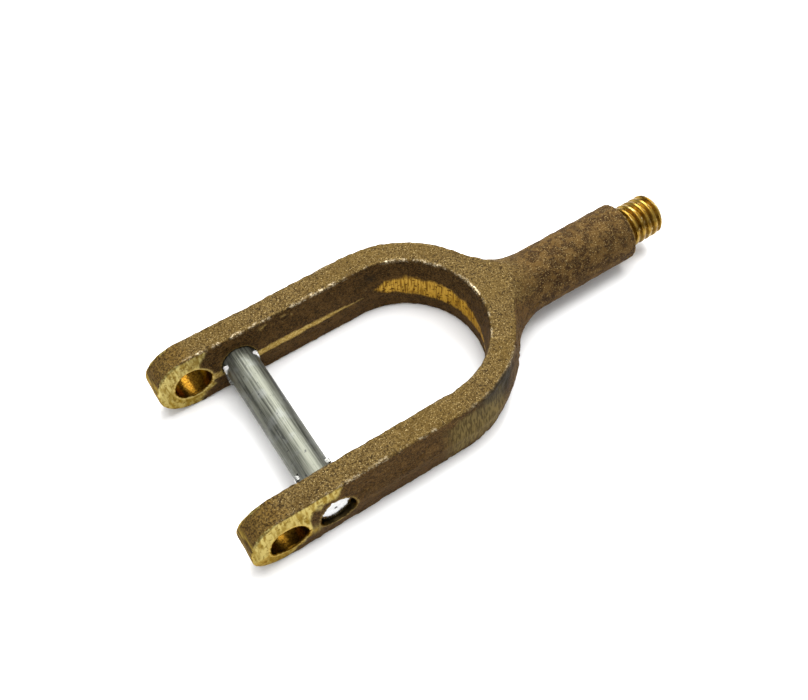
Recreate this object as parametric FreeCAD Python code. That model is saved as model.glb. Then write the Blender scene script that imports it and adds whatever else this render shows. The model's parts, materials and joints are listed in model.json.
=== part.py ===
# Cast bronze fork end with a threaded shank and a steel cross rod held by two U clips.
# Millimetres, +Z up, +X from the fork's tips towards the threaded end.
# The origin is on the surface the fork lies on, under the middle of its length.
import FreeCAD, Part
import math
import os

os.makedirs("parts", exist_ok=True)

Vec = FreeCAD.Vector

# Overall layout, measured from the centre of the bow
depth = 12.9
half_depth = depth / 2.0
tip_hole_x = -33.2
rod_hole_x = -24.6
shank_end_x = 47.0
thread_end_x = 55.0

# Section of the arms and the bow: narrow at top and bottom, widest at the parting plane
inner_edge_y = 14.5
face_width = 4.35
outer_edge_y = inner_edge_y + face_width
inner_bulge = 0.72
outer_bulge = 1.0
filed_half_height = 1.2
filed_inner_y = inner_edge_y - inner_bulge * (1.0 - filed_half_height / half_depth)
ridge_outer_y = outer_edge_y + outer_bulge
edge_round = 0.25
ridge_round = 1.5

# Round shank and the flare that joins it to the bow
shank_r = 5.5
flare_r = 13.0
thread_major_r = 7.9375 / 2.0
thread_pitch = 25.4 / 18.0
thread_depth = 0.78
thread_relief = 0.5
groove_root = 0.06
thread_end_chamfer = 0.55

# Holes
tip_hole_r = 3.3
rod_hole_r = 3.15

# Steel cross rod with a pair of side notches near each end
rod_r = 3.05
rod_length = 38.6
rod_shift = 0.7
rod_chamfer = 0.35
notch_half_gap = 2.35
notch_wall = 11.8
notch_width = 0.9
centre_mark_r = 0.28
centre_mark_depth = 0.35

# U-shaped retaining clips, pushed on from below
clip_thickness = 0.8
clip_outer_half = 3.2
clip_tip_z = 1.5
clip_slot_z = -3.2
clip_bottom_z = -4.3

# Position of the bow centre in the part's own frame
nose_x = tip_hole_x - half_depth
bow_x = -(nose_x + thread_end_x) / 2.0
lift = Vec(bow_x, 0, half_depth)


def polygon_face(points):
    wire = Part.makePolygon(points + [points[0]])
    return Part.Face(wire)


def rounded_face(corners):
    """Closed face through the corners (point, radius), each rounded with a tangent arc."""
    count = len(corners)
    ends = []
    for i in range(count):
        point, radius = corners[i]
        before = (corners[i - 1][0] - point).normalize()
        after = (corners[(i + 1) % count][0] - point).normalize()
        half_angle = before.getAngle(after) / 2.0
        reach = radius / math.tan(half_angle)
        bisector = (before + after).normalize()
        middle = point + bisector * (radius / math.sin(half_angle) - radius)
        ends.append((point + before * reach, middle, point + after * reach))
    edges = []
    for i in range(count):
        start, middle, end = ends[i]
        edges.append(Part.Arc(start, middle, end).toShape())
        edges.append(Part.makeLine(end, ends[(i + 1) % count][0]))
    return Part.Face(Part.Wire(edges))


# ---- Fork casting: bow by turning the arm's section half a turn, arms by pushing it straight
section = rounded_face([
    (Vec(0, inner_edge_y, half_depth), edge_round),
    (Vec(0, outer_edge_y, half_depth), edge_round),
    (Vec(0, ridge_outer_y, 0), ridge_round),
    (Vec(0, outer_edge_y, -half_depth), edge_round),
    (Vec(0, inner_edge_y, -half_depth), edge_round),
    (Vec(0, filed_inner_y, -filed_half_height), edge_round),
    (Vec(0, filed_inner_y, filed_half_height), edge_round),
])
bow = section.revolve(Vec(0, 0, 0), Vec(0, 0, 1), -180)
arm_length = half_depth - tip_hole_x + 2.0
far_arm = section.extrude(Vec(-arm_length, 0, 0))
near_arm = far_arm.mirror(Vec(0, 0, 0), Vec(0, 1, 0))
fork = bow.fuse([far_arm, near_arm]).removeSplitter()

# Rounded noses, centred on the tip holes
nose = Part.makeCylinder(half_depth, 60, Vec(tip_hole_x, -30, 0), Vec(0, 1, 0))
body_length = 30 - tip_hole_x
body = Part.makeBox(body_length, 60, depth, Vec(tip_hole_x, -30, -half_depth))
fork = fork.common(nose.fuse(body).removeSplitter())

# Flare between the bow and the shank, turned about the shank's axis
flare_end_x = math.sqrt((ridge_outer_y + flare_r) ** 2 - (shank_r + flare_r) ** 2)
touch = ridge_outer_y / (ridge_outer_y + flare_r)
touch_x = flare_end_x * touch
touch_y = (shank_r + flare_r) * touch
centre = Vec(flare_end_x, shank_r + flare_r, 0)
mid_angle = (math.atan2(touch_y - centre.y, touch_x - centre.x) - math.pi / 2.0) / 2.0
if mid_angle > 0:
    mid_angle -= math.pi
mid = Vec(centre.x + flare_r * math.cos(mid_angle), centre.y + flare_r * math.sin(mid_angle), 0)
start_x = 14.6
flare_edges = [
    Part.makeLine(Vec(start_x, 0, 0), Vec(start_x, touch_y, 0)),
    Part.makeLine(Vec(start_x, touch_y, 0), Vec(touch_x, touch_y, 0)),
    Part.Arc(Vec(touch_x, touch_y, 0), mid, Vec(flare_end_x, shank_r, 0)).toShape(),
    Part.makeLine(Vec(flare_end_x, shank_r, 0), Vec(shank_end_x, shank_r, 0)),
    Part.makeLine(Vec(shank_end_x, shank_r, 0), Vec(shank_end_x, 0, 0)),
    Part.makeLine(Vec(shank_end_x, 0, 0), Vec(start_x, 0, 0)),
]
flare_face = Part.Face(Part.Wire(flare_edges))
flare = flare_face.revolve(Vec(0, 0, 0), Vec(1, 0, 0), 360)
slab = Part.makeBox(80, 60, depth, Vec(0, -30, -half_depth))
flare = flare.common(slab)

# Threaded stub: a chamfered bar with a helical V groove
stub_length = thread_end_x - shank_end_x
stub_profile = [
    Vec(0, 0, -1.0),
    Vec(thread_major_r - thread_depth, 0, -1.0),
    Vec(thread_major_r - thread_depth, 0, thread_relief),
    Vec(thread_major_r, 0, thread_relief + thread_depth),
    Vec(thread_major_r, 0, stub_length - thread_end_chamfer),
    Vec(thread_major_r - thread_end_chamfer, 0, stub_length),
    Vec(0, 0, stub_length),
]
stub = polygon_face(stub_profile).revolve(Vec(0, 0, 0), Vec(0, 0, 1), 360)
helix = Part.makeHelix(thread_pitch, 7.0 * thread_pitch, thread_major_r)
groove_top = 0.25
groove_outer = groove_root + (thread_depth + groove_top) * math.tan(math.radians(30.0))
groove_points = [
    Vec(thread_major_r - thread_depth, 0, -groove_root),
    Vec(thread_major_r + groove_top, 0, -groove_outer),
    Vec(thread_major_r + groove_top, 0, groove_outer),
    Vec(thread_major_r - thread_depth, 0, groove_root),
]
groove_wire = Part.makePolygon(groove_points + [groove_points[0]])
groove = Part.Wire(helix.Edges).makePipeShell([groove_wire], True, True)
groove.translate(Vec(0, 0, thread_relief + 0.1))
stub = stub.cut(groove)
stub.rotate(Vec(0, 0, 0), Vec(0, 1, 0), 90)
stub.translate(Vec(shank_end_x, 0, 0))

fork = fork.fuse([flare]).removeSplitter()
fork = fork.fuse([stub])

# Cross holes through both arms
for hole_x, hole_r in ((tip_hole_x, tip_hole_r), (rod_hole_x, rod_hole_r)):
    hole = Part.makeCylinder(hole_r, 60, Vec(hole_x, -30, 0), Vec(0, 1, 0))
    fork = fork.cut(hole)

# ---- Cross rod, built along Z and laid down along Y
half_rod = rod_length / 2.0
rod = Part.makeCylinder(rod_r, rod_length, Vec(0, 0, -half_rod))
rod = rod.makeChamfer(rod_chamfer, [e for e in rod.Edges if abs(e.Length - 2 * math.pi * rod_r) < 0.01])
for side in (-1, 1):
    wall = side * notch_wall if side > 0 else side * (notch_wall + notch_width)
    for flat in (-1, 1):
        near_x = notch_half_gap if flat > 0 else -notch_half_gap - 2.0
        cutter = Part.makeBox(2.0, 8.0, notch_width, Vec(near_x, -4.0, wall))
        rod = rod.cut(cutter)
    tip = Part.makeCone(
        0.01,
        centre_mark_r,
        centre_mark_depth,
        Vec(0, 0, side * (half_rod - centre_mark_depth)),
        Vec(0, 0, side),
    )
    rod = rod.cut(tip)
rod.rotate(Vec(0, 0, 0), Vec(1, 0, 0), -90)
rod.translate(Vec(rod_hole_x, rod_shift, 0))


# ---- Retaining clip: flat U with its legs in the rod's side notches
def make_clip(y_low):
    half = clip_outer_half
    gap = notch_half_gap
    corner = 1.8
    slot_corner = 0.8
    outline = Part.makeBox(2 * half, clip_thickness, clip_tip_z - clip_bottom_z, Vec(-half, 0, clip_bottom_z))
    bottom = []
    top = []
    for edge in outline.Edges:
        box = edge.BoundBox
        if box.YMax - box.YMin > clip_thickness - 0.01:
            if box.ZMax < clip_bottom_z + 0.01:
                bottom.append(edge)
    outline = outline.makeFillet(corner, bottom)
    slot_height = clip_tip_z - clip_slot_z + 1.0
    slot = Part.makeBox(2 * gap, clip_thickness + 2.0, slot_height, Vec(-gap, -1.0, clip_slot_z))
    slot_edges = []
    for edge in slot.Edges:
        box = edge.BoundBox
        if box.YMax - box.YMin > clip_thickness + 1.9 and box.ZMax < clip_slot_z + 0.01:
            slot_edges.append(edge)
    slot = slot.makeFillet(slot_corner, slot_edges)
    clip = outline.cut(slot)
    for edge in clip.Edges:
        box = edge.BoundBox
        across = box.YMax - box.YMin > clip_thickness - 0.01
        if across and box.ZMin > clip_tip_z - 0.01 and abs(abs(box.XMax) - half) < 0.01:
            top.append(edge)
    clip = clip.makeFillet(0.3, top)
    clip.translate(Vec(rod_hole_x, y_low, 0))
    return clip


slack = (notch_width - clip_thickness) / 2.0
far_clip = make_clip(rod_shift + notch_wall + slack)
near_clip = make_clip(rod_shift - notch_wall - slack - clip_thickness)

nodes = {
    "fork_casting": fork,
    "cross_rod": rod,
    "far_clip": far_clip,
    "near_clip": near_clip,
}
for name, shape in nodes.items():
    shape.translate(lift)
    shape.exportStep("parts/" + name + ".step")
    box = shape.BoundBox
    print(name, shape.ShapeType, len(shape.Solids), shape.isValid(), round(shape.Volume, 2))
    print("  x", round(box.XMin, 3), round(box.XMax, 3), "y", round(box.YMin, 3), round(box.YMax, 3))
    print("  z", round(box.ZMin, 3), round(box.ZMax, 3))
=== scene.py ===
import json
import math

import bpy
import numpy as np
from mathutils import Matrix, Vector


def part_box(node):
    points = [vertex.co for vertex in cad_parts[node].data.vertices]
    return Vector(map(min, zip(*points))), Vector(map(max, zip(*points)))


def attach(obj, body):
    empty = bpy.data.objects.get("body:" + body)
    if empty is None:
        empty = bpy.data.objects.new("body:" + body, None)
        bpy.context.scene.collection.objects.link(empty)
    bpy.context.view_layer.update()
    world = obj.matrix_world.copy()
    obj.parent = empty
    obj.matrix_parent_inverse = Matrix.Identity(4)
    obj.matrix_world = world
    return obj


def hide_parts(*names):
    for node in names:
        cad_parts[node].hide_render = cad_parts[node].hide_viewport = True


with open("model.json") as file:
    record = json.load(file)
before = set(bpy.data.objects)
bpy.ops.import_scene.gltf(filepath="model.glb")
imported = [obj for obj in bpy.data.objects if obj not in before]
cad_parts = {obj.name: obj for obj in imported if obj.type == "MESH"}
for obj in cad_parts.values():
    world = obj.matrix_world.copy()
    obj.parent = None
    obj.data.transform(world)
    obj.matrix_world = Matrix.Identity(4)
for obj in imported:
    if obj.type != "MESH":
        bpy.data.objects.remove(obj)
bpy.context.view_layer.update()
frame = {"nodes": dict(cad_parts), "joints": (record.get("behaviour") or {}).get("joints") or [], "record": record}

# A cast bronze fork end with a steel cross rod and two U clips. The casting is meshed from a distance
# field, so its sand-cast skin, filed noses and bare bands are one surface. The same masks that shape
# the field are stored at its vertices and steer its material.

MM = 0.001

# ---------------------------------------------------------------- sizes, mm, from the bow's centre
cast_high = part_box("fork_casting")[1]
rod_low, rod_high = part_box("cross_rod")
mounts = {mount["name"]: mount for mount in frame["record"]["mounts"]}
spin = frame["joints"][0]

# The frame's origin is midway along the part, so the bow's centre is found from the thread's end
THREAD_END = 55.0
BOW_X = round(cast_high[0] / MM - THREAD_END, 3)


def from_bow(x_metres):
    """Place along the fork, mm from the bow's centre."""
    return round(x_metres / MM - BOW_X, 3)


HALF_DEPTH = round(cast_high[2] / MM, 3) / 2.0
SHANK_END = THREAD_END - mounts["thread_stub"]["dims"]["length_mm"]
TIP_X = from_bow(mounts["tip_bore"]["pos_m"][0])
TIP_R = mounts["tip_bore"]["dims"]["r_mm"]
ROD_X = from_bow(spin["pos_m"][0])
ROD_R = round(from_bow(rod_high[0]) - ROD_X, 3)
ROD_HOLE_R = ROD_R + 0.10
NOTCH_HALF_GAP = 2.35

# Section of the arms and bow: its walls bulge towards the parting line at z = 0
INNER = 14.5
OUTER = 18.85
INNER_BULGE = 0.72
OUTER_BULGE = 1.0
RIDGE = OUTER + OUTER_BULGE
FILED_HALF = 1.2
FILED_INNER = INNER - INNER_BULGE * (1.0 - FILED_HALF / HALF_DEPTH)
EDGE_ROUND = 0.25

# The flare is an arc that touches the bow's ridge and runs out into the shank
SHANK_R = 5.5
FLARE_R = 13.0
FLARE_START = 14.6
FLARE_END = math.sqrt((RIDGE + FLARE_R) ** 2 - (SHANK_R + FLARE_R) ** 2)
TOUCH_X = FLARE_END * RIDGE / (RIDGE + FLARE_R)
TOUCH_Y = (SHANK_R + FLARE_R) * RIDGE / (RIDGE + FLARE_R)

# 5/16 in thread with 18 turns per inch, its flanks a little worn
THREAD_R = 7.9375 / 2.0
THREAD_PITCH = 25.4 / 18.0
THREAD_DEPTH = 0.66
THREAD_CHAMFER = 0.55

VOXEL = 0.285


# ---------------------------------------------------------------- seeded noise and soft steps
NOISE_TABLE = 4096


def lattice_noise(p, scale, seed):
    """Smooth noise from -1 to 1 at points p, mm, with features about scale mm across."""
    table = np.random.default_rng(seed).uniform(-1.0, 1.0, NOISE_TABLE)
    q = p * (1.0 / scale) + 512.0
    base = np.floor(q).astype(np.int64)
    f = q - base
    f = f * f * (3.0 - 2.0 * f)
    total = np.zeros(len(p))
    for dx in (0, 1):
        wx = f[:, 0] if dx else 1.0 - f[:, 0]
        for dy in (0, 1):
            wy = f[:, 1] if dy else 1.0 - f[:, 1]
            for dz in (0, 1):
                wz = f[:, 2] if dz else 1.0 - f[:, 2]
                i, j, k = base[:, 0] + dx, base[:, 1] + dy, base[:, 2] + dz
                key = i * 73856093 ^ j * 19349663 ^ k * 83492791
                total += wx * wy * wz * table[(key ^ (key >> 13)) & (NOISE_TABLE - 1)]
    return total


def fbm(p, scale, seed, octaves):
    """Lattice noise with finer octaves added."""
    total = np.zeros(len(p))
    weight = 1.0
    for i in range(octaves):
        total += weight * lattice_noise(p, scale / 2.0 ** i, seed + i)
        weight *= 0.55
    return total


def ramp(value, low, high):
    t = np.clip((value - low) / (high - low), 0.0, 1.0)
    return t * t * (3.0 - 2.0 * t)


def bump(value, centre, width):
    return np.exp(-((value - centre) / width) ** 2)


def bent(value, points):
    """Height at value of a bent line through (value, height) points."""
    at, height = zip(*points)
    return np.interp(value, at, height)


# ---------------------------------------------------------------- the casting's faces
FACE_REACH = 0.38
FLAT_MARGIN = 0.25


def across(x, y):
    """Distance from the bow's centre round the bow, and from the middle line along the arms."""
    return np.where(x > 0.0, np.hypot(x, y), np.abs(y))


def inner_wall(z):
    return np.maximum(INNER - INNER_BULGE * (1.0 - np.abs(z) / HALF_DEPTH), FILED_INNER)


def outer_wall(z):
    return OUTER + OUTER_BULGE * (1.0 - np.abs(z) / HALF_DEPTH)


class Spot:
    """Points at the casting's surface, mm: where they are, and on which arm and face."""

    def __init__(self, p):
        self.p = p
        self.x, self.y, self.z = p[:, 0], p[:, 1], p[:, 2]
        self.v = across(self.x, self.y)
        self.turn = np.degrees(np.arctan2(self.y, self.x))
        self.far = self.y > 0.0
        self.near = ~self.far
        self.inner = self.v < inner_wall(self.z) + FACE_REACH
        self.outer = self.v > outer_wall(self.z) - FACE_REACH
        self.flat = np.abs(self.z) < HALF_DEPTH - FLAT_MARGIN
        self.tip_hole = np.hypot(self.x - TIP_X, self.z)
        self.rod_hole = np.hypot(self.x - ROD_X, self.z)
        self.rag = fbm(p, 1.6, 11, 3)
        self.rag_big = fbm(p, 4.5, 21, 2)


# ---------------------------------------------------------------- where the casting was filed or machined
# Bent lines, as (height, x) for the filed faces' edge, (x, height) for the runs over the near nose,
# (turn, width or height) for the band and (x, width) for the stripe
NOSE_EDGE = [(-6.4, -33.0), (-4.0, -31.6), (-3.0, -30.2), (0.0, -29.8), (2.4, -32.0), (4.4, -31.0),
             (6.4, -28.6)]
NOSE_TOP_RUN = [(-42.0, -9.0), (-36.0, -9.0), (-31.5, 1.0), (-28.5, 3.6), (-24.0, 4.6), (-21.5, 6.9)]
NOSE_LOW_RUN = [(-42.0, -9.0), (-33.0, -5.2), (-29.6, -2.0), (-28.6, 9.0)]
BAND_HALF = [(-40.0, 0.0), (-20.0, 0.9), (5.0, 1.9), (35.0, 2.3), (58.0, 2.3), (72.0, 1.4), (81.0, 0.0)]
BAND_MIDDLE = [(0.0, -1.0), (40.0, -0.4), (80.0, 0.1)]
STRIPE_HALF = [(-30.5, 0.75), (-21.0, 0.75), (-14.0, 0.70), (-6.0, 0.42), (0.0, 0.0)]
BORE_REACH = 0.17


def filed_noses(s):
    """Filed faces: inside both noses, outside the far one, and round the near one's hole and top edge."""
    edge = bent(s.z, NOSE_EDGE) + 0.55 * s.rag
    far_inside = ramp(edge - s.x, -0.5, 0.5) * (s.inner & s.flat & s.far)
    near_inside = ramp(edge - 1.0 - s.x, -0.5, 0.5) * (s.inner & s.flat & s.near)
    far_outside = ramp(-33.5 - s.x + s.rag, -0.8, 0.8) * (s.outer & s.flat & s.far)
    near_face = s.outer & s.flat & s.near
    upper = ramp(s.z - bent(s.x, NOSE_TOP_RUN) + 0.9 * s.rag, -0.5, 0.6)
    upper = upper * ramp(-23.0 - s.x + s.rag, -0.8, 0.8) * near_face
    lower = ramp(s.z - bent(s.x, NOSE_LOW_RUN) + 0.8 * s.rag, -0.5, 0.6)
    lower = lower * ramp(-28.8 - s.x, -0.4, 0.6) * near_face
    patch = bump(s.x, -28.9, 0.8) * bump(s.z, -1.2, 1.3) * (s.outer & s.near)
    return far_inside + near_inside + np.maximum(upper, lower) + patch + far_outside


def bow_band(s):
    """Bare band round the inside of the bow."""
    half = bent(s.turn, BAND_HALF)
    middle = bent(s.turn, BAND_MIDDLE)
    cover = ramp(half + 0.45 * s.rag - np.abs(s.z - middle), -0.45, 0.35)
    return cover * ramp(half, 0.0, 0.5) * (s.inner & (s.x > -3.0))


def arm_stripe(s):
    """Bare parting line inside both arms, and scrapes just below the far arm's top edge."""
    half = bent(s.x, STRIPE_HALF) + 0.12 * s.rag
    line = ramp(half - np.abs(s.z + 0.75 + 0.12 * s.rag_big), -0.16, 0.16) * (s.inner & (s.x < 0.2))
    scrape = bump(s.z, 4.9, 0.45) * ramp(fbm(s.p, 0.9, 31, 2), 0.05, 0.35)
    scrape = scrape * ramp(s.x, -20.5, -18.5) * ramp(-11.5 - s.x, -1.0, 1.5)
    return np.maximum(0.95 * line, 0.8 * scrape * (s.inner & s.far))


def nose_end(s):
    """The nose's rounded end, filed across below its upper corner."""
    return ramp(TIP_X - 1.0 - s.x, 0.0, 1.2) * ramp(2.6 + 0.9 * s.rag_big - s.z, -0.8, 0.8)


def nose_brow(s):
    """Darker upper corner of the nose."""
    return ramp(TIP_X + 0.5 - s.x + s.rag, -0.8, 1.2) * ramp(s.z, 1.0, 3.0)


def grinding(s):
    """Grinding marks on the near outer side of the bow."""
    wall = ramp(s.v, RIDGE - 1.5, RIDGE - 0.9) * ramp(5.2 - np.abs(s.z) + 0.8 * s.rag, -0.8, 0.8)
    return wall * ramp(s.x, -6.0, -1.5) * ramp(8.0 - s.x + s.rag, -1.5, 1.5) * s.near


def dark_spots(s):
    """A dark patch above the grinding marks, and a pit inside the far arm."""
    patch = 1.6 * bump(s.turn, -68.0, 15.0) * bump(s.z, 4.6, 2.6) * (s.outer & s.near)
    pit = 0.9 * bump(s.x, 1.8, 1.1) * bump(s.z, 3.5, 0.9) * (s.inner & s.far)
    return (patch + pit) * (0.75 + 0.5 * s.rag)


def hole_rims(s):
    """Bright rims round the drilled holes."""
    return bump(s.tip_hole, TIP_R + 0.20, 0.20) + 0.55 * bump(s.rod_hole, ROD_HOLE_R + 0.18, 0.14)


ZONES = {
    "filed": filed_noses,
    "band": bow_band,
    "stripe": arm_stripe,
    "nose": nose_end,
    "brow": nose_brow,
    "grind": grinding,
    "bore": lambda s: (s.tip_hole < TIP_R + BORE_REACH) | (s.rod_hole < ROD_HOLE_R + BORE_REACH),
    "rodbore": lambda s: s.rod_hole < ROD_HOLE_R + BORE_REACH,
    "rim": hole_rims,
    "turned": lambda s: s.x > SHANK_END - 0.12,
    "soot": dark_spots,
}


def zones(s):
    """Masks from 0 to 1 at a spot, by name."""
    return {name: np.clip(np.asarray(mask(s), dtype=float), 0.0, 1.0) for name, mask in ZONES.items()}


# ---------------------------------------------------------------- the casting as a distance field, mm
ROUGH_REACH = 1.6
CALM = {"filed": 1.0, "band": 0.75, "stripe": 0.6, "nose": 0.5}


def round_max(a, b, r):
    """Overlap of two shapes, its edge rounded to radius r."""
    return np.minimum(np.maximum(a, b), -r) + np.hypot(np.maximum(a + r, 0.0), np.maximum(b + r, 0.0))


def smooth_min(a, b, k):
    """Both shapes together, with a fillet of about k."""
    h = np.clip(0.5 + 0.5 * (b - a) / k, 0.0, 1.0)
    return b * (1.0 - h) + a * h - k * h * (1.0 - h)


def arms_field(x, y, z):
    v = across(x, y)
    side = np.maximum(inner_wall(z) - v, v - outer_wall(z))
    ends = np.where(x < TIP_X, np.hypot(x - TIP_X, z) - HALF_DEPTH, np.abs(z) - HALF_DEPTH)
    return round_max(side, ends, EDGE_ROUND)


def shank_field(x, y, z):
    rho = np.hypot(y, z)
    arc = FLARE_R - np.hypot(x - FLARE_END, rho - (SHANK_R + FLARE_R))
    flare = np.where(x > FLARE_END, rho - SHANK_R, np.where(x < TOUCH_X, rho - TOUCH_Y, arc))
    beyond = (x <= FLARE_END) & (rho > SHANK_R + FLARE_R)
    flare = np.where(beyond, rho - SHANK_R - 0.3 * (FLARE_END - x), flare)
    flare = np.maximum(flare, FLARE_START - x)
    return round_max(flare, np.abs(z) - HALF_DEPTH, 0.4)


def edge_fin(s, height, wall, width, size, seed, low):
    """Ragged fin of metal along a top edge of the bow."""
    rag = ramp(lattice_noise(s.p, size, seed), low, 0.5)
    return height * bump(s.v, wall, width) * bump(s.z, HALF_DEPTH, 0.6) * rag


def skin_depth(s):
    """How far the sand-cast skin lies inside the bare shape."""
    zone = zones(s)
    calm = np.clip(sum(weight * zone[name] for name, weight in CALM.items()), 0.0, 1.0)
    calm = np.maximum(calm, zone["grind"] * 0.8)
    q, x, y, z = s.p, s.x, s.y, s.z

    lumps = 0.040 * lattice_noise(q, 3.2, 41) + 0.035 * lattice_noise(q, 1.5, 42)
    grain = 0.060 * lattice_noise(q, 0.75, 43) + 0.050 * lattice_noise(q, 0.45, 44)
    pits = 0.17 * ramp(lattice_noise(q, 1.15, 45), 0.52, 0.85)
    corner = np.clip(1.0 - (HALF_DEPTH - np.abs(z)) / 1.2, 0.0, 1.0)
    chips = 0.08 * corner * ramp(lattice_noise(q, 1.1, 46), -0.1, 0.8)
    inward = 0.045 - lumps - grain + pits + chips

    blisters = 0.10 * ramp(lattice_noise(q, 1.3, 47), 0.35, 0.8)
    blisters = blisters * ramp(x, 22.0, 27.0) * ramp(38.0 - x, 0.0, 14.0)
    near_fin = edge_fin(s, 0.17, INNER + 0.25, 0.35, 1.7, 48, -0.2) * ((y < 0) & (x > -13.0) & (x < 6.0))
    far_fin = edge_fin(s, 0.16, OUTER - 0.1, 0.4, 1.4, 49, -0.1) * ((y > 0) & (x > -13.0) & (x < 4.0))
    seam = 0.35 * bump(s.v, RIDGE, 0.9) * bump(z, 0.0, 0.8) * bump(s.turn, -20.0, 7.0) * (x > 0)
    seam *= ramp(lattice_noise(q, 1.3, 52), -0.5, 0.4)

    depth = (1.0 - calm) * inward + 0.05 * calm - near_fin - far_fin - blisters
    depth += 0.06 * calm * np.abs(lattice_noise(q, 1.2, 50))
    depth += 0.10 * zone["band"] * ramp(lattice_noise(q, 1.0, 51), 0.35, 0.7)
    return np.maximum(depth, np.where(x < 16.0, -0.07, -0.10)) - seam


def field(p):
    """Signed distance of the casting: bare shape, skin, drilled holes and the faced end of the shank."""
    x, y, z = p[:, 0], p[:, 1], p[:, 2]
    d = smooth_min(arms_field(x, y, z), shank_field(x, y, z), 0.5)
    near_surface = np.abs(d) < ROUGH_REACH
    d[near_surface] += skin_depth(Spot(p[near_surface]))
    d = np.maximum(d, x - SHANK_END)
    d = np.maximum(d, TIP_R - np.hypot(x - TIP_X, z))
    return np.maximum(d, ROD_HOLE_R - np.hypot(x - ROD_X, z))


# ---------------------------------------------------------------- meshing
def sample(axes, call):
    """Values of call at every point of a grid."""
    values = np.empty([len(axis) for axis in axes])
    for i, x in enumerate(axes[0]):
        yy, zz = np.meshgrid(axes[1], axes[2], indexing="ij")
        points = np.stack([np.full(yy.size, x), yy.ravel(), zz.ravel()], 1)
        values[i] = call(points).reshape(yy.shape)
    return values


def shifted(cells, axis_a, shift_a, axis_b, shift_b):
    moved = cells.copy()
    moved[:, axis_a] += shift_a
    moved[:, axis_b] += shift_b
    return moved


def surface_net(low, high, step, call):
    """Mesh of the zero surface of call(points) inside a box: one vertex per cell that it crosses."""
    axes = [low[i] + step * np.arange(int(math.ceil((high[i] - low[i]) / step)) + 1) for i in range(3)]
    values = sample(axes, call)
    inside = values < 0.0
    cells = np.array(values.shape) - 1
    total = np.zeros((*cells, 3))
    hits = np.zeros(cells)
    crossings = []
    for axis in range(3):
        start = tuple(slice(0, -1) if k == axis else slice(None) for k in range(3))
        end = tuple(slice(1, None) if k == axis else slice(None) for k in range(3))
        cross = inside[start] != inside[end]
        share = np.where(cross, values[start] / np.where(cross, values[start] - values[end], 1.0), 0.0)
        edges = np.argwhere(cross)
        point = edges.astype(float)
        point[:, axis] += share[cross]
        others = [k for k in range(3) if k != axis]
        for shift_a in (0, -1):
            for shift_b in (0, -1):
                cell = shifted(edges, others[0], shift_a, others[1], shift_b)
                valid = np.all(cell >= 0, 1) & np.all(cell < cells, 1)
                place = tuple(cell[valid].T)
                np.add.at(total, place, point[valid])
                np.add.at(hits, place, 1.0)
        crossings.append((axis, edges, inside[start][cross]))

    used = hits > 0
    number = -np.ones(hits.shape, dtype=np.int64)
    number[used] = np.arange(int(used.sum()))
    verts = total[used] / hits[used][:, None] * step + np.array(low)
    faces = []
    for axis, edges, start_inside in crossings:
        axis_a, axis_b = (axis + 1) % 3, (axis + 2) % 3
        ring = [shifted(edges, axis_a, a, axis_b, b) for a, b in ((0, 0), (-1, 0), (-1, -1), (0, -1))]
        quad = np.stack([number[tuple(cell.T)] for cell in ring], 1)
        quad[~start_inside] = quad[~start_inside][:, ::-1]
        faces.append(quad)
    return verts, np.concatenate(faces)


def settle(verts, call, step, rounds=2):
    """Moves vertices onto the zero surface by Newton steps of under half a voxel."""
    probe = 0.04
    for _ in range(rounds):
        d = call(verts)
        slope = np.empty_like(verts)
        for k in range(3):
            nudge = np.zeros(3)
            nudge[k] = probe
            slope[:, k] = (call(verts + nudge) - call(verts - nudge)) / (2.0 * probe)
        steepness = np.maximum(np.sum(slope * slope, 1), 0.25)
        move = -(d / steepness)[:, None] * slope
        length = np.linalg.norm(move, axis=1, keepdims=True)
        verts = verts + move * np.minimum(1.0, 0.45 * step / np.maximum(length, 1e-9))
    return verts


def new_object(name, verts_mm, faces, offset=(BOW_X, 0.0, HALF_DEPTH)):
    """Smooth-shaded object from points in mm, moved by offset into the frame."""
    mesh = bpy.data.meshes.new(name)
    verts = (np.asarray(verts_mm) + np.array(offset)) * MM
    mesh.vertices.add(len(verts))
    mesh.vertices.foreach_set("co", verts.astype(np.float32).ravel())
    sizes = np.array([len(f) for f in faces])
    mesh.loops.add(int(sizes.sum()))
    mesh.loops.foreach_set("vertex_index", np.concatenate([np.asarray(f) for f in faces]).astype(np.int32))
    mesh.polygons.add(len(faces))
    mesh.polygons.foreach_set("loop_start", np.concatenate([[0], np.cumsum(sizes)[:-1]]).astype(np.int32))
    mesh.polygons.foreach_set("use_smooth", np.ones(len(faces), dtype=bool))
    mesh.update(calc_edges=True)
    mesh.validate()
    obj = bpy.data.objects.new(name, mesh)
    bpy.context.scene.collection.objects.link(obj)
    return obj


def add_mask(mesh, name, values):
    layer = mesh.attributes.new(name, "FLOAT", "POINT")
    layer.data.foreach_set("value", np.asarray(values, dtype=np.float32))


def circle(count):
    """Angles of count points round a circle."""
    return [2.0 * math.pi * j / count for j in range(count)]


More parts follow.
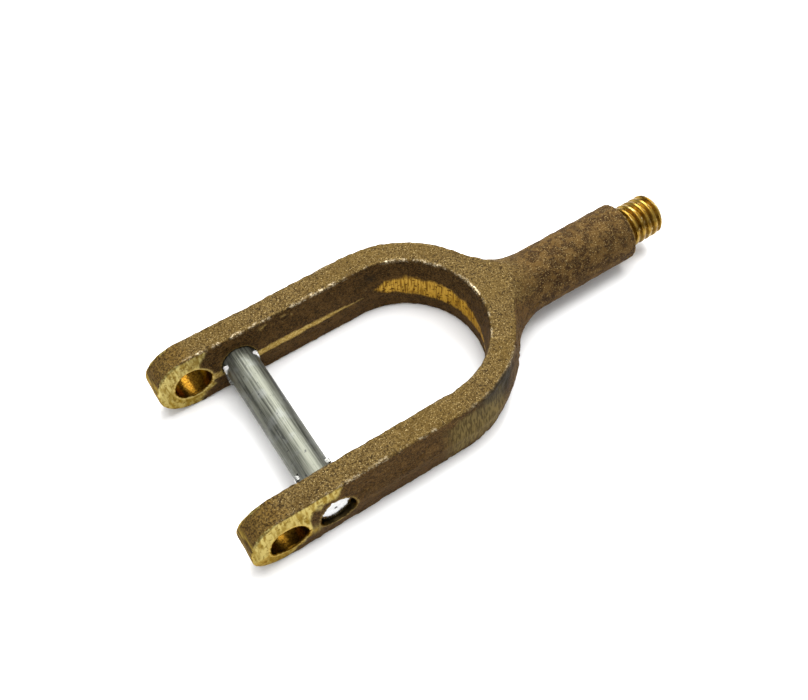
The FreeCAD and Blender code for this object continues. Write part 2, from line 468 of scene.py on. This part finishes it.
# ---------------------------------------------------------------- thread
def thread_radius(x, a):
    """Radius of the thread at length x and angle a, with its run-out, end chamfer and worn spots."""
    phase = ((x - SHANK_END) / THREAD_PITCH - a / (2.0 * math.pi)) % 1.0
    crest = abs(phase - 0.5) * 2.0
    flank = 1.0 - min(1.0, max(0.0, (crest - 0.10) / 0.62))
    depth = THREAD_DEPTH * ((0.5 - 0.5 * math.cos(math.pi * flank)) * 0.55 + flank * 0.45)
    runout = min(1.0, max(0.0, (x - SHANK_END - 0.35) / 0.8))
    r = (THREAD_R - THREAD_DEPTH) * (1.0 - runout) + (THREAD_R - depth) * runout
    to_end = THREAD_END - x
    if to_end < THREAD_CHAMFER:
        r = min(r, THREAD_R - (THREAD_CHAMFER - to_end) * 0.9)
    wear = 0.05 * math.sin(3.1 * a + 1.7 * x) * math.sin(1.3 * a - 2.3 * x)
    return r - max(0.0, wear) * 0.6


def thread_mesh():
    """Closed helical thread, from just inside the shank's end to its own end."""
    around, along = 120, 90
    flat_r, dimple = 2.2, 0.05
    start = SHANK_END - 0.4
    angles = circle(around)
    verts = []
    for x in np.linspace(start, THREAD_END, along):
        for a in angles:
            r = thread_radius(x, a)
            verts.append((x, r * math.cos(a), r * math.sin(a)))
    verts += [(THREAD_END, flat_r * math.cos(a), flat_r * math.sin(a)) for a in angles]
    end_centre = len(verts)
    verts.append((THREAD_END - dimple, 0.0, 0.0))
    start_centre = len(verts)
    verts.append((start, 0.0, 0.0))

    faces = []
    for i in range(along):
        for j in range(around):
            k = (j + 1) % around
            faces.append((i * around + j, i * around + k, (i + 1) * around + k, (i + 1) * around + j))
    last = along * around
    faces += [(last + j, last + (j + 1) % around, end_centre) for j in range(around)]
    faces += [((j + 1) % around, j, start_centre) for j in range(around)]
    return np.array(verts), faces


# ---------------------------------------------------------------- material building
def rgba(value):
    """A colour with its alpha, or a socket as it is."""
    if isinstance(value, bpy.types.NodeSocket):
        return value
    return tuple(value) + (1.0,)


class Nodes:
    """A new material and short calls for its nodes. Noise scales are per metre of object space."""

    def __init__(self, name):
        self.mat = bpy.data.materials.new(name)
        self.mat.use_nodes = True
        self.tree = self.mat.node_tree
        self.tree.nodes.clear()
        out = self.tree.nodes.new("ShaderNodeOutputMaterial")
        self.bsdf = self.tree.nodes.new("ShaderNodeBsdfPrincipled")
        self.link(self.bsdf.outputs[0], out.inputs[0])
        self.object_co = self.tree.nodes.new("ShaderNodeTexCoord").outputs["Object"]

    def link(self, source, target):
        self.tree.links.new(source, target)

    def put(self, socket, value):
        if isinstance(value, bpy.types.NodeSocket):
            self.link(value, socket)
        else:
            socket.default_value = value

    def surface(self, colour, metallic, rough):
        self.put(self.bsdf.inputs["Base Color"], colour)
        self.put(self.bsdf.inputs["Metallic"], metallic)
        self.put(self.bsdf.inputs["Roughness"], rough)

    def noise(self, scale, detail, rough, stretch=None):
        source = self.object_co
        if stretch:
            mapping = self.tree.nodes.new("ShaderNodeMapping")
            mapping.inputs["Scale"].default_value = stretch
            self.link(source, mapping.inputs["Vector"])
            source = mapping.outputs[0]
        n = self.tree.nodes.new("ShaderNodeTexNoise")
        n.inputs["Scale"].default_value = scale
        n.inputs["Detail"].default_value = detail
        n.inputs["Roughness"].default_value = rough
        self.link(source, n.inputs["Vector"])
        return n.outputs["Fac"]

    def attr(self, name):
        n = self.tree.nodes.new("ShaderNodeAttribute")
        n.attribute_name = name
        return n.outputs["Fac"]

    def ramp(self, value, low, high, start=0.0, end=1.0):
        n = self.tree.nodes.new("ShaderNodeMapRange")
        n.interpolation_type = "SMOOTHSTEP"
        self.put(n.inputs["Value"], value)
        n.inputs["From Min"].default_value = low
        n.inputs["From Max"].default_value = high
        n.inputs["To Min"].default_value = start
        n.inputs["To Max"].default_value = end
        return n.outputs[0]

    def math(self, op, a, b, clamp=False):
        n = self.tree.nodes.new("ShaderNodeMath")
        n.operation = op
        n.use_clamp = clamp
        self.put(n.inputs[0], a)
        self.put(n.inputs[1], b)
        return n.outputs[0]

    def times(self, a, b):
        return self.math("MULTIPLY", a, b)

    def mix(self, fac, a, b):
        n = self.tree.nodes.new("ShaderNodeMix")
        n.data_type = "RGBA"
        self.put(n.inputs[0], fac)
        self.put(n.inputs[6], rgba(a))
        self.put(n.inputs[7], rgba(b))
        return n.outputs[2]

    def mix_value(self, fac, a, b):
        n = self.tree.nodes.new("ShaderNodeMix")
        n.data_type = "FLOAT"
        self.put(n.inputs[0], fac)
        self.put(n.inputs[2], a)
        self.put(n.inputs[3], b)
        return n.outputs[0]

    def mottle(self, noise, low, high, pair):
        """The pair's first colour where noise is under low, its second over high."""
        return self.mix(self.ramp(noise, low, high), *pair)

    def bump(self, height, strength, distance):
        n = self.tree.nodes.new("ShaderNodeBump")
        n.inputs["Strength"].default_value = strength
        n.inputs["Distance"].default_value = distance
        self.link(height, n.inputs["Height"])
        self.link(n.outputs[0], self.bsdf.inputs["Normal"])


# ---------------------------------------------------------------- bronze. Pairs are a mottle's two colours
# Side skin is darker than the top skin: partly the skin's own tone, partly painted shade.
SIDE_SKIN_AND_SHADE = ((0.0190, 0.0095, 0.0030), (0.088, 0.0470, 0.0140))
SIDE_PATCH = (0.108, 0.059, 0.0185)
TOP_SKIN = ((0.0290, 0.0170, 0.0056), (0.134, 0.0885, 0.0290))
TOP_SHADE = (0.0399, 0.0221, 0.00571)
TOP_WARM = (0.0921, 0.0566, 0.0127)
SHANK_SKIN = ((0.0230, 0.0105, 0.0046), (0.0860, 0.0480, 0.0150))
SHANK_PATCH = (0.1300, 0.0800, 0.0260)
# Bright specks: partly bare metal grains, partly painted glints.
SPECK_AND_GLINT = (0.48, 0.37, 0.173)
SPOT = (0.016, 0.010, 0.005)
# Bright edge colour: partly bare worn metal, partly a painted glint.
EDGE_WEAR_AND_GLINT = (0.62, 0.52, 0.34)
BROW = ((0.022, 0.012, 0.0040), (0.150, 0.088, 0.0190))
SOOT = (0.016, 0.012, 0.007)
GROUND_SOOT = (0.018, 0.014, 0.008)
NOSE_POLISH = ((0.040, 0.024, 0.0030), (0.30, 0.210, 0.036))
GROUND = ((0.062, 0.044, 0.014), (0.170, 0.126, 0.044))
BAND = ((0.165, 0.086, 0.012), (0.46, 0.275, 0.046))
BAND_PIT = (0.034, 0.0121, 0.00165)
STRIPE = ((0.24, 0.155, 0.040), (0.44, 0.325, 0.115))
FILED = ((0.211, 0.149, 0.036), (0.412, 0.34, 0.121))
FILED_STAIN = (0.106, 0.0618, 0.0112)
RIM = (0.62, 0.47, 0.16)
BORE = ((0.042, 0.0175, 0.0012), (0.120, 0.062, 0.0062))
# Near-black colour of the rod's hole: painted shade in the narrow gap round the rod.
ROD_BORE_SHADE = (0.030, 0.021, 0.008)
FACED_END = (0.20, 0.13, 0.04)
SKIN_SHEEN = (0.80, 0.56, 0.30, 1.0)
SKIN_METALLIC = 0.28
BARE_METALLIC = 0.95
THREAD_METAL = ((0.165, 0.0882, 0.009), (0.319, 0.203, 0.036))
THREAD_ROOT = (0.12, 0.06, 0.006)
THREAD_GLINT = (0.95, 0.82, 0.42)


def skin_colour(m, mask, grain, speck_and_glint, wear_and_glint):
    """The sand-cast skin: gold on top, dark on the sides, that darkness partly painted shade, purplish on the
    shank, specks and worn edges that are partly painted glints.
    """
    mid, coarse = grain["mid"], grain["coarse"]
    dark = m.mottle(mid, 0.36, 0.64, SIDE_SKIN_AND_SHADE)
    dark = m.mix(m.times(m.ramp(coarse, 0.5, 0.62), 0.5), dark, SIDE_PATCH)
    gold = m.mottle(mid, 0.36, 0.62, TOP_SKIN)
    gold = m.mix(m.times(m.ramp(coarse, 0.48, 0.66), 0.45), gold, TOP_SHADE)
    gold = m.mix(m.times(m.ramp(m.noise(90.0, 2.0, 0.5), 0.45, 0.62), 0.35), gold, TOP_WARM)
    # Gold on faces that look up or down, darker on the sides: partly the skin's own tone, partly painted shade on
    # the sides.
    skin = m.mix(mask["top"], dark, gold)
    purple = m.mottle(coarse, 0.42, 0.58, SHANK_SKIN)
    purple = m.mix(m.times(m.ramp(mid, 0.52, 0.66), 0.6), purple, SHANK_PATCH)
    skin = m.mix(m.times(mask["shank"], 0.85), skin, purple)
    # Specks, partly painted glints, are dense on faces that look up or down and sparse on the sides.
    speck_share = m.mix_value(mask["shank"], m.mix_value(mask["top"], 0.25, 0.80), 0.60)
    skin = m.mix(m.times(speck_and_glint, speck_share), skin, SPECK_AND_GLINT)
    spots = m.ramp(m.noise(2300.0, 2.0, 0.5), 0.60, 0.67)
    skin = m.mix(m.times(spots, 0.75), skin, SPOT)
    # Bright edges: partly real wear, partly painted glint.
    skin = m.mix(wear_and_glint, skin, EDGE_WEAR_AND_GLINT)
    skin = m.mix(m.times(mask["brow"], 0.65), skin, m.mottle(mid, 0.35, 0.65, BROW))
    return m.mix(mask["soot"], skin, SOOT)


def bare_colour(m, mask, grain, skin):
    """Filed, ground and drilled metal laid over the skin."""
    mid = grain["mid"]
    scratches = m.noise(1500.0, 2.0, 0.5, stretch=(1.0, 0.10, 1.0))
    colour = m.mix(m.times(mask["nose"], 0.9), skin, m.mottle(scratches, 0.42, 0.58, NOSE_POLISH))
    wheel = m.noise(3600.0, 2.0, 0.5, stretch=(1.0, 1.0, 0.045))
    colour = m.mix(m.times(mask["grind"], 0.85), colour, m.mottle(wheel, 0.40, 0.60, GROUND))
    colour = m.mix(m.times(mask["soot"], 0.7), colour, GROUND_SOOT)

    marks = m.noise(3600.0, 2.0, 0.55, stretch=(1.0, 1.0, 0.07))
    band_pits = m.ramp(m.noise(1700.0, 2.0, 0.5), 0.57, 0.65)
    orange = m.mix(m.times(band_pits, 0.85), m.mottle(marks, 0.38, 0.60, BAND), BAND_PIT)
    colour = m.mix(mask["band"], colour, orange)
    colour = m.mix(mask["stripe"], colour, m.mottle(mid, 0.4, 0.6, STRIPE))

    stains = m.ramp(m.noise(1500.0, 3.0, 0.6), 0.53, 0.64)
    yellow = m.mix(m.times(stains, 0.7), m.mottle(grain["file"], 0.36, 0.62, FILED), FILED_STAIN)
    colour = m.mix(mask["filed"], colour, yellow)
    colour = m.mix(m.times(mask["rim"], 0.8), colour, RIM)
    # The rod's bore is painted dark as shade round the rod.
    bore = m.mix(mask["rodbore"], m.mottle(mid, 0.35, 0.65, BORE), ROD_BORE_SHADE)
    colour = m.mix(mask["bore"], colour, bore)
    return m.mix(mask["turned"], colour, FACED_END)


def cast_material():
    m = Nodes("cast_bronze_skin")
    mask = {name: m.attr(name) for name in (*ZONES, "top", "wear", "shank")}
    grain = {
        "fine": m.noise(5200.0, 2.0, 0.6),
        "mid": m.noise(3100.0, 3.0, 0.7),
        "coarse": m.noise(520.0, 4.0, 0.65),
        "file": m.noise(1900.0, 2.0, 0.5, stretch=(1.0, 1.0, 0.16)),
    }
    speck_and_glint = m.ramp(grain["fine"], 0.60, 0.70)
    wear_and_glint = m.times(mask["wear"], m.ramp(m.noise(3400.0, 2.0, 0.5), 0.47, 0.60, 0.08, 0.85))
    colour = bare_colour(m, mask, grain, skin_colour(m, mask, grain, speck_and_glint, wear_and_glint))

    part_bare = m.math("ADD", m.times(mask["band"], 0.8), m.times(mask["nose"], 0.3))
    bare = m.math("ADD", m.math("ADD", mask["filed"], mask["stripe"]), part_bare, clamp=True)
    bare = m.math("MAXIMUM", bare, mask["bore"])
    bare = m.math("MAXIMUM", bare, m.times(mask["rim"], 0.9))
    shine = m.math("MAXIMUM", m.times(speck_and_glint, 0.6), wear_and_glint)
    metallic = m.mix_value(bare, m.mix_value(shine, SKIN_METALLIC, BARE_METALLIC), BARE_METALLIC)
    metallic = m.mix_value(mask["soot"], metallic, 0.0)
    rough = m.mix_value(bare, m.mix_value(mask["wear"], 0.70, 0.42), m.mix_value(mask["bore"], 0.36, 0.28))
    m.surface(colour, metallic, rough)
    m.bsdf.inputs["Specular IOR Level"].default_value = 0.08
    m.bsdf.inputs["Specular Tint"].default_value = SKIN_SHEEN
    sand = m.math("ADD", m.times(grain["mid"], 0.7), m.times(grain["fine"], 0.3))
    m.bump(m.mix_value(bare, sand, m.times(grain["file"], 0.22)), 0.6, 0.00016)
    return m.mat


def thread_material():
    m = Nodes("thread_brass")
    fine = m.noise(1800.0, 3.0, 0.6, stretch=(1.0, 0.4, 0.4))
    base = m.mottle(m.noise(500.0, 3.0, 0.6), 0.35, 0.65, THREAD_METAL)
    base = m.mix(m.times(m.attr("root"), 0.65), base, THREAD_ROOT)
    base = m.mix(m.times(m.ramp(fine, 0.60, 0.72), 0.5), base, THREAD_GLINT)
    m.surface(base, 0.95, m.ramp(fine, 0.3, 0.7, 0.24, 0.42))
    m.bump(fine, 0.5, 0.00008)
    return m.mat


# ---------------------------------------------------------------- steel
ROD_STEEL = ((0.0578, 0.0594, 0.0478), (0.177, 0.181, 0.145))
ROD_CLOUD = (0.22, 0.23, 0.225)
ROD_PIT = (0.07, 0.07, 0.065)
ROD_FACE = ((0.72, 0.73, 0.73), (0.86, 0.87, 0.87))
PLATE = ((0.88, 0.88, 0.88), (0.97, 0.97, 0.97))
# Plate colour in painted shade.
SHADED_PLATE = ((0.10, 0.10, 0.09), (0.22, 0.22, 0.20))


def steel_material():
    m = Nodes("rod_steel")
    streak = m.noise(2600.0, 3.0, 0.6, stretch=(1.0, 0.035, 1.0))
    cloud = m.ramp(m.noise(330.0, 3.0, 0.6), 0.45, 0.7)
    pit = m.ramp(m.noise(1500.0, 2.0, 0.5), 0.66, 0.73)
    base = m.mix(m.times(cloud, 0.35), m.mottle(streak, 0.35, 0.65, ROD_STEEL), ROD_CLOUD)
    m.surface(m.mix(pit, base, ROD_PIT), 0.9, m.ramp(streak, 0.3, 0.7, 0.42, 0.60))
    m.bump(m.mix_value(pit, streak, 0.0), 0.5, 0.00006)
    return m.mat


def face_material():
    m = Nodes("rod_end_polish")
    swirl = m.noise(1800.0, 2.0, 0.5)
    m.surface(m.mottle(swirl, 0.4, 0.62, ROD_FACE), 1.0, m.ramp(swirl, 0.3, 0.7, 0.10, 0.18))
    return m.mat


def clip_material(name, low, high, tip):
    """Plated, with painted shade below height low. Above high the plate keeps a share tip of its shine; the rest
    there is painted shade too.
    """
    m = Nodes(name)
    grain = m.noise(1500.0, 2.0, 0.5)
    split = m.tree.nodes.new("ShaderNodeSeparateXYZ")
    m.link(m.object_co, split.inputs[0])
    height = split.outputs[2]
    shine = m.times(m.ramp(height, low, low + 0.8 * MM), m.ramp(height, high, high + 0.4 * MM, 1.0, tip))
    plate = m.mottle(grain, 0.40, 0.64, PLATE)
    shaded_plate = m.mottle(grain, 0.40, 0.64, SHADED_PLATE)
    m.surface(m.mix(shine, shaded_plate, plate), 0.45, m.ramp(grain, 0.3, 0.7, 0.16, 0.30))
    m.bump(grain, 0.3, 0.00004)
    return m.mat


# ---------------------------------------------------------------- casting
def casting_masks(verts, normals):
    """Masks for the casting's material: its zones, the faces that look up or down (the darker sides are partly
    painted shade), and worn edges that are partly painted glints.
    """
    s = Spot(verts)
    masks = zones(s)
    masks["top"] = ramp(np.abs(normals[:, 2]) + 0.12 * fbm(verts, 1.6, 61, 2), 0.45, 0.85)
    masks["shank"] = ramp(s.x, 20.0, 27.0)

    to_side = np.minimum(np.abs(s.v - INNER), np.abs(OUTER - s.v))
    on_bow = s.v < 16.0
    edge = ramp(0.58 - (HALF_DEPTH - np.abs(s.z)) - to_side, 0.0, 0.28) * ((s.x < 14.0) | on_bow)
    # Edge brightness is partly real wear and partly painted glint: edges that face the near side get more of it
    # than those facing away.
    inner_share = np.where((s.y < 0.0) & (s.x < 11.0), 0.12, 1.0)
    outer_share = np.where(s.y < 0.0, 0.6, 0.25)
    broken = ramp(fbm(verts, 0.9, 62, 2) + 0.6 * lattice_noise(verts, 5.0, 64), -0.25, 0.45)
    cast = 1.0 - np.clip(masks["bore"] + masks["turned"], 0.0, 1.0)
    fade = 1.0 - 0.6 * ramp(s.x, 24.0, 30.0)
    masks["wear"] = np.where(on_bow, inner_share, outer_share) * edge * broken * cast * fade
    return masks


def make_casting():
    verts, quads = surface_net((-41.0, -20.6, -7.2), (48.4, 20.6, 7.2), VOXEL, field)
    verts = settle(verts, field, VOXEL)
    verts[:, 2] = np.clip(verts[:, 2], -HALF_DEPTH, HALF_DEPTH)
    thread_verts, thread_faces = thread_mesh()
    count = len(verts)
    all_faces = [tuple(q) for q in quads] + [tuple(i + count for i in f) for f in thread_faces]
    casting = new_object("casting", np.concatenate([verts, thread_verts]), all_faces)

    normals = np.zeros((count + len(thread_verts)) * 3, dtype=np.float32)
    casting.data.vertex_normals.foreach_get("vector", normals)
    masks = casting_masks(verts, normals.reshape(-1, 3)[:count].astype(float))
    for name, values in masks.items():
        add_mask(casting.data, name, np.concatenate([values, np.zeros(len(thread_verts))]))
    thread_r = np.hypot(thread_verts[:, 1], thread_verts[:, 2])
    add_mask(casting.data, "root", np.concatenate([np.zeros(count), ramp(3.6 - thread_r, 0.0, 0.35)]))

    casting.data.materials.append(cast_material())
    casting.data.materials.append(thread_material())
    slots = np.zeros(len(all_faces), dtype=np.int32)
    slots[len(quads):] = 1
    casting.data.polygons.foreach_set("material_index", slots)
    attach(casting, "fork")
    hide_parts("fork_casting")


# ---------------------------------------------------------------- cross rod
def notch_span(clip):
    """Where a clip's notches start and end along the rod, mm."""
    low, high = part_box(clip)
    slack = 0.05
    return low[1] / MM - slack, high[1] / MM + slack


def rod_rings():
    """The rod's rings as (place along it, radius, whether its sides are cut flat)."""
    low, high = round(rod_low[1] / MM, 3), round(rod_high[1] / MM, 3)
    chamfer = 0.35
    mark_r, mark_depth, mark_tip = 0.28, 0.35, 0.05
    step = 0.001
    end = [
        (mark_depth, mark_tip),
        (0.0, mark_r),
        (0.0, ROD_R - chamfer),
        (0.02, ROD_R - chamfer + 0.02),
        (chamfer - 0.02, ROD_R - 0.02),
    ]
    rings = [(low + inset, r, False) for inset, r in end]
    start = low + chamfer + 0.02
    for (notch_start, notch_end), parts in ((notch_span("near_clip"), 6), (notch_span("far_clip"), 24)):
        rings += [(y, ROD_R, False) for y in np.linspace(start, notch_start, parts + 1)]
        rings += [(notch_start + step, ROD_R, True), (notch_end - step, ROD_R, True)]
        start = notch_end
    rings += [(y, ROD_R, False) for y in np.linspace(start, high - chamfer - 0.02, 7)]
    rings += [(high - inset, r, False) for inset, r in reversed(end)]
    return rings


def rod_mesh():
    """Turned rod with chamfered ends, a centre mark in each end and side notches for the clips."""
    around = 96
    rings = rod_rings()
    verts = []
    for y, r, cut in rings:
        for a in circle(around):
            x, z = r * math.cos(a), r * math.sin(a)
            if cut:
                x = max(-NOTCH_HALF_GAP, min(NOTCH_HALF_GAP, x))
            verts.append((ROD_X + x, y, z))
    faces = []
    slots = []
    last = len(rings) - 1
    polished = (1, 2, last - 3, last - 2)
    for i in range(last):
        for j in range(around):
            k = (j + 1) % around
            faces.append((i * around + j, (i + 1) * around + j, (i + 1) * around + k, i * around + k))
            slots.append(1 if i in polished else 0)
    faces.append(tuple(range(around)))
    faces.append(tuple(last * around + j for j in range(around))[::-1])
    slots += [0, 0]
    return np.array(verts), faces, slots


def make_rod():
    verts, faces, slots = rod_mesh()
    rod = new_object("rod", verts, faces)
    rod.data.materials.append(steel_material())
    rod.data.materials.append(face_material())
    rod.data.polygons.foreach_set("material_index", np.array(slots, dtype=np.int32))
    rod.data.set_sharp_from_angle(angle=math.radians(32.0))
    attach(rod, "rod")
    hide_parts("cross_rod")


# ---------------------------------------------------------------- clips: the CAD's own shape
def finish_clips():
    finishes = {
        # Painted shade: each clip is painted dark below its height low, and the near clip is also painted dark at
        # its top.
        "far_clip": clip_material("clip_plate_far", 6.4 * MM, 9.0 * MM, 1.0),
        "near_clip": clip_material("clip_plate_near", 5.6 * MM, 7.2 * MM, 0.05),
    }
    for node, finish in finishes.items():
        clip = frame["nodes"][node]
        clip.data.materials.clear()
        clip.data.materials.append(finish)


# ---------------------------------------------------------------- table
def make_table():
    half, parts = 4000.0, 24
    edge = np.linspace(-half, half, parts + 1)
    verts = [(x, y, 0.0) for x in edge for y in edge]
    faces = []
    for i in range(parts):
        for j in range(parts):
            a = i * (parts + 1) + j
            faces.append((a, a + parts + 1, a + parts + 2, a + 1))
    table = new_object("table_top", verts, faces, offset=(0.0, 0.0, -0.02))
    m = Nodes("table_white")
    soft = m.noise(6.0, 3.0, 0.5)
    m.surface(m.mottle(soft, 0.3, 0.7, ((0.86, 0.86, 0.86), (0.89, 0.89, 0.89))), 0.0, 0.7)
    table.data.materials.append(m.mat)


# ---------------------------------------------------------------- light
def area_light(name, position, size, power):
    """Rectangular light that points at the frame's origin."""
    data = bpy.data.lights.new(name, "AREA")
    data.shape = "RECTANGLE"
    data.size, data.size_y = size
    data.energy = power
    lamp = bpy.data.objects.new(name, data)
    lamp.location = position
    lamp.rotation_euler = (-Vector(position)).to_track_quat("-Z", "Y").to_euler()
    bpy.context.scene.collection.objects.link(lamp)


def make_world():
    """White studio, dim near the horizon and bright overhead."""
    world = bpy.data.worlds.new("studio")
    world.use_nodes = True
    tree = world.node_tree
    direction = tree.nodes.new("ShaderNodeTexCoord").outputs["Generated"]
    split = tree.nodes.new("ShaderNodeSeparateXYZ")
    tree.links.new(direction, split.inputs[0])
    strength = tree.nodes.new("ShaderNodeMapRange")
    strength.interpolation_type = "SMOOTHSTEP"
    strength.inputs["From Min"].default_value = 0.15
    strength.inputs["From Max"].default_value = 0.75
    strength.inputs["To Min"].default_value = 0.18
    strength.inputs["To Max"].default_value = 1.1
    tree.links.new(split.outputs[2], strength.inputs[0])
    background = tree.nodes["Background"]
    tree.links.new(strength.outputs[0], background.inputs[1])
    background.inputs[0].default_value = (1.0, 1.0, 1.0, 1.0)
    bpy.context.scene.world = world


# ---------------------------------------------------------------- camera
def make_camera():
    """Camera that looks down at the bow's centre from the near side of the tips."""
    azimuth, elevation, roll = (math.radians(angle) for angle in (-30.152, 56.695, -3.278))
    distance = 0.15897
    level = math.cos(elevation)
    back = Vector((math.sin(azimuth) * level, -math.cos(azimuth) * level, math.sin(elevation)))
    right = Vector((math.cos(azimuth), math.sin(azimuth), 0.0))
    up = back.cross(right)
    camera_x = right * math.cos(roll) + up * math.sin(roll)
    camera_y = -right * math.sin(roll) + up * math.cos(roll)
    turned = Matrix((camera_x, camera_y, back)).transposed().to_4x4()
    target = Vector((BOW_X, 0.0, HALF_DEPTH)) * MM
    data = bpy.data.cameras.new("camera")
    data.sensor_width = 36.0
    data.sensor_fit = "HORIZONTAL"
    data.lens = 41.20
    data.clip_start = 0.01
    camera = bpy.data.objects.new("camera", data)
    camera.matrix_world = Matrix.Translation(target + back * distance) @ turned
    bpy.context.scene.collection.objects.link(camera)
    bpy.context.scene.camera = camera


make_casting()
make_rod()
finish_clips()
make_table()
make_world()
bpy.context.scene.view_settings.view_transform = "Standard"
area_light("key", (0.30, 0.42, 0.60), (0.45, 0.45), 8.5)
area_light("overhead", (0.06, -0.02, 0.80), (0.30, 0.55), 5.2)
make_camera()
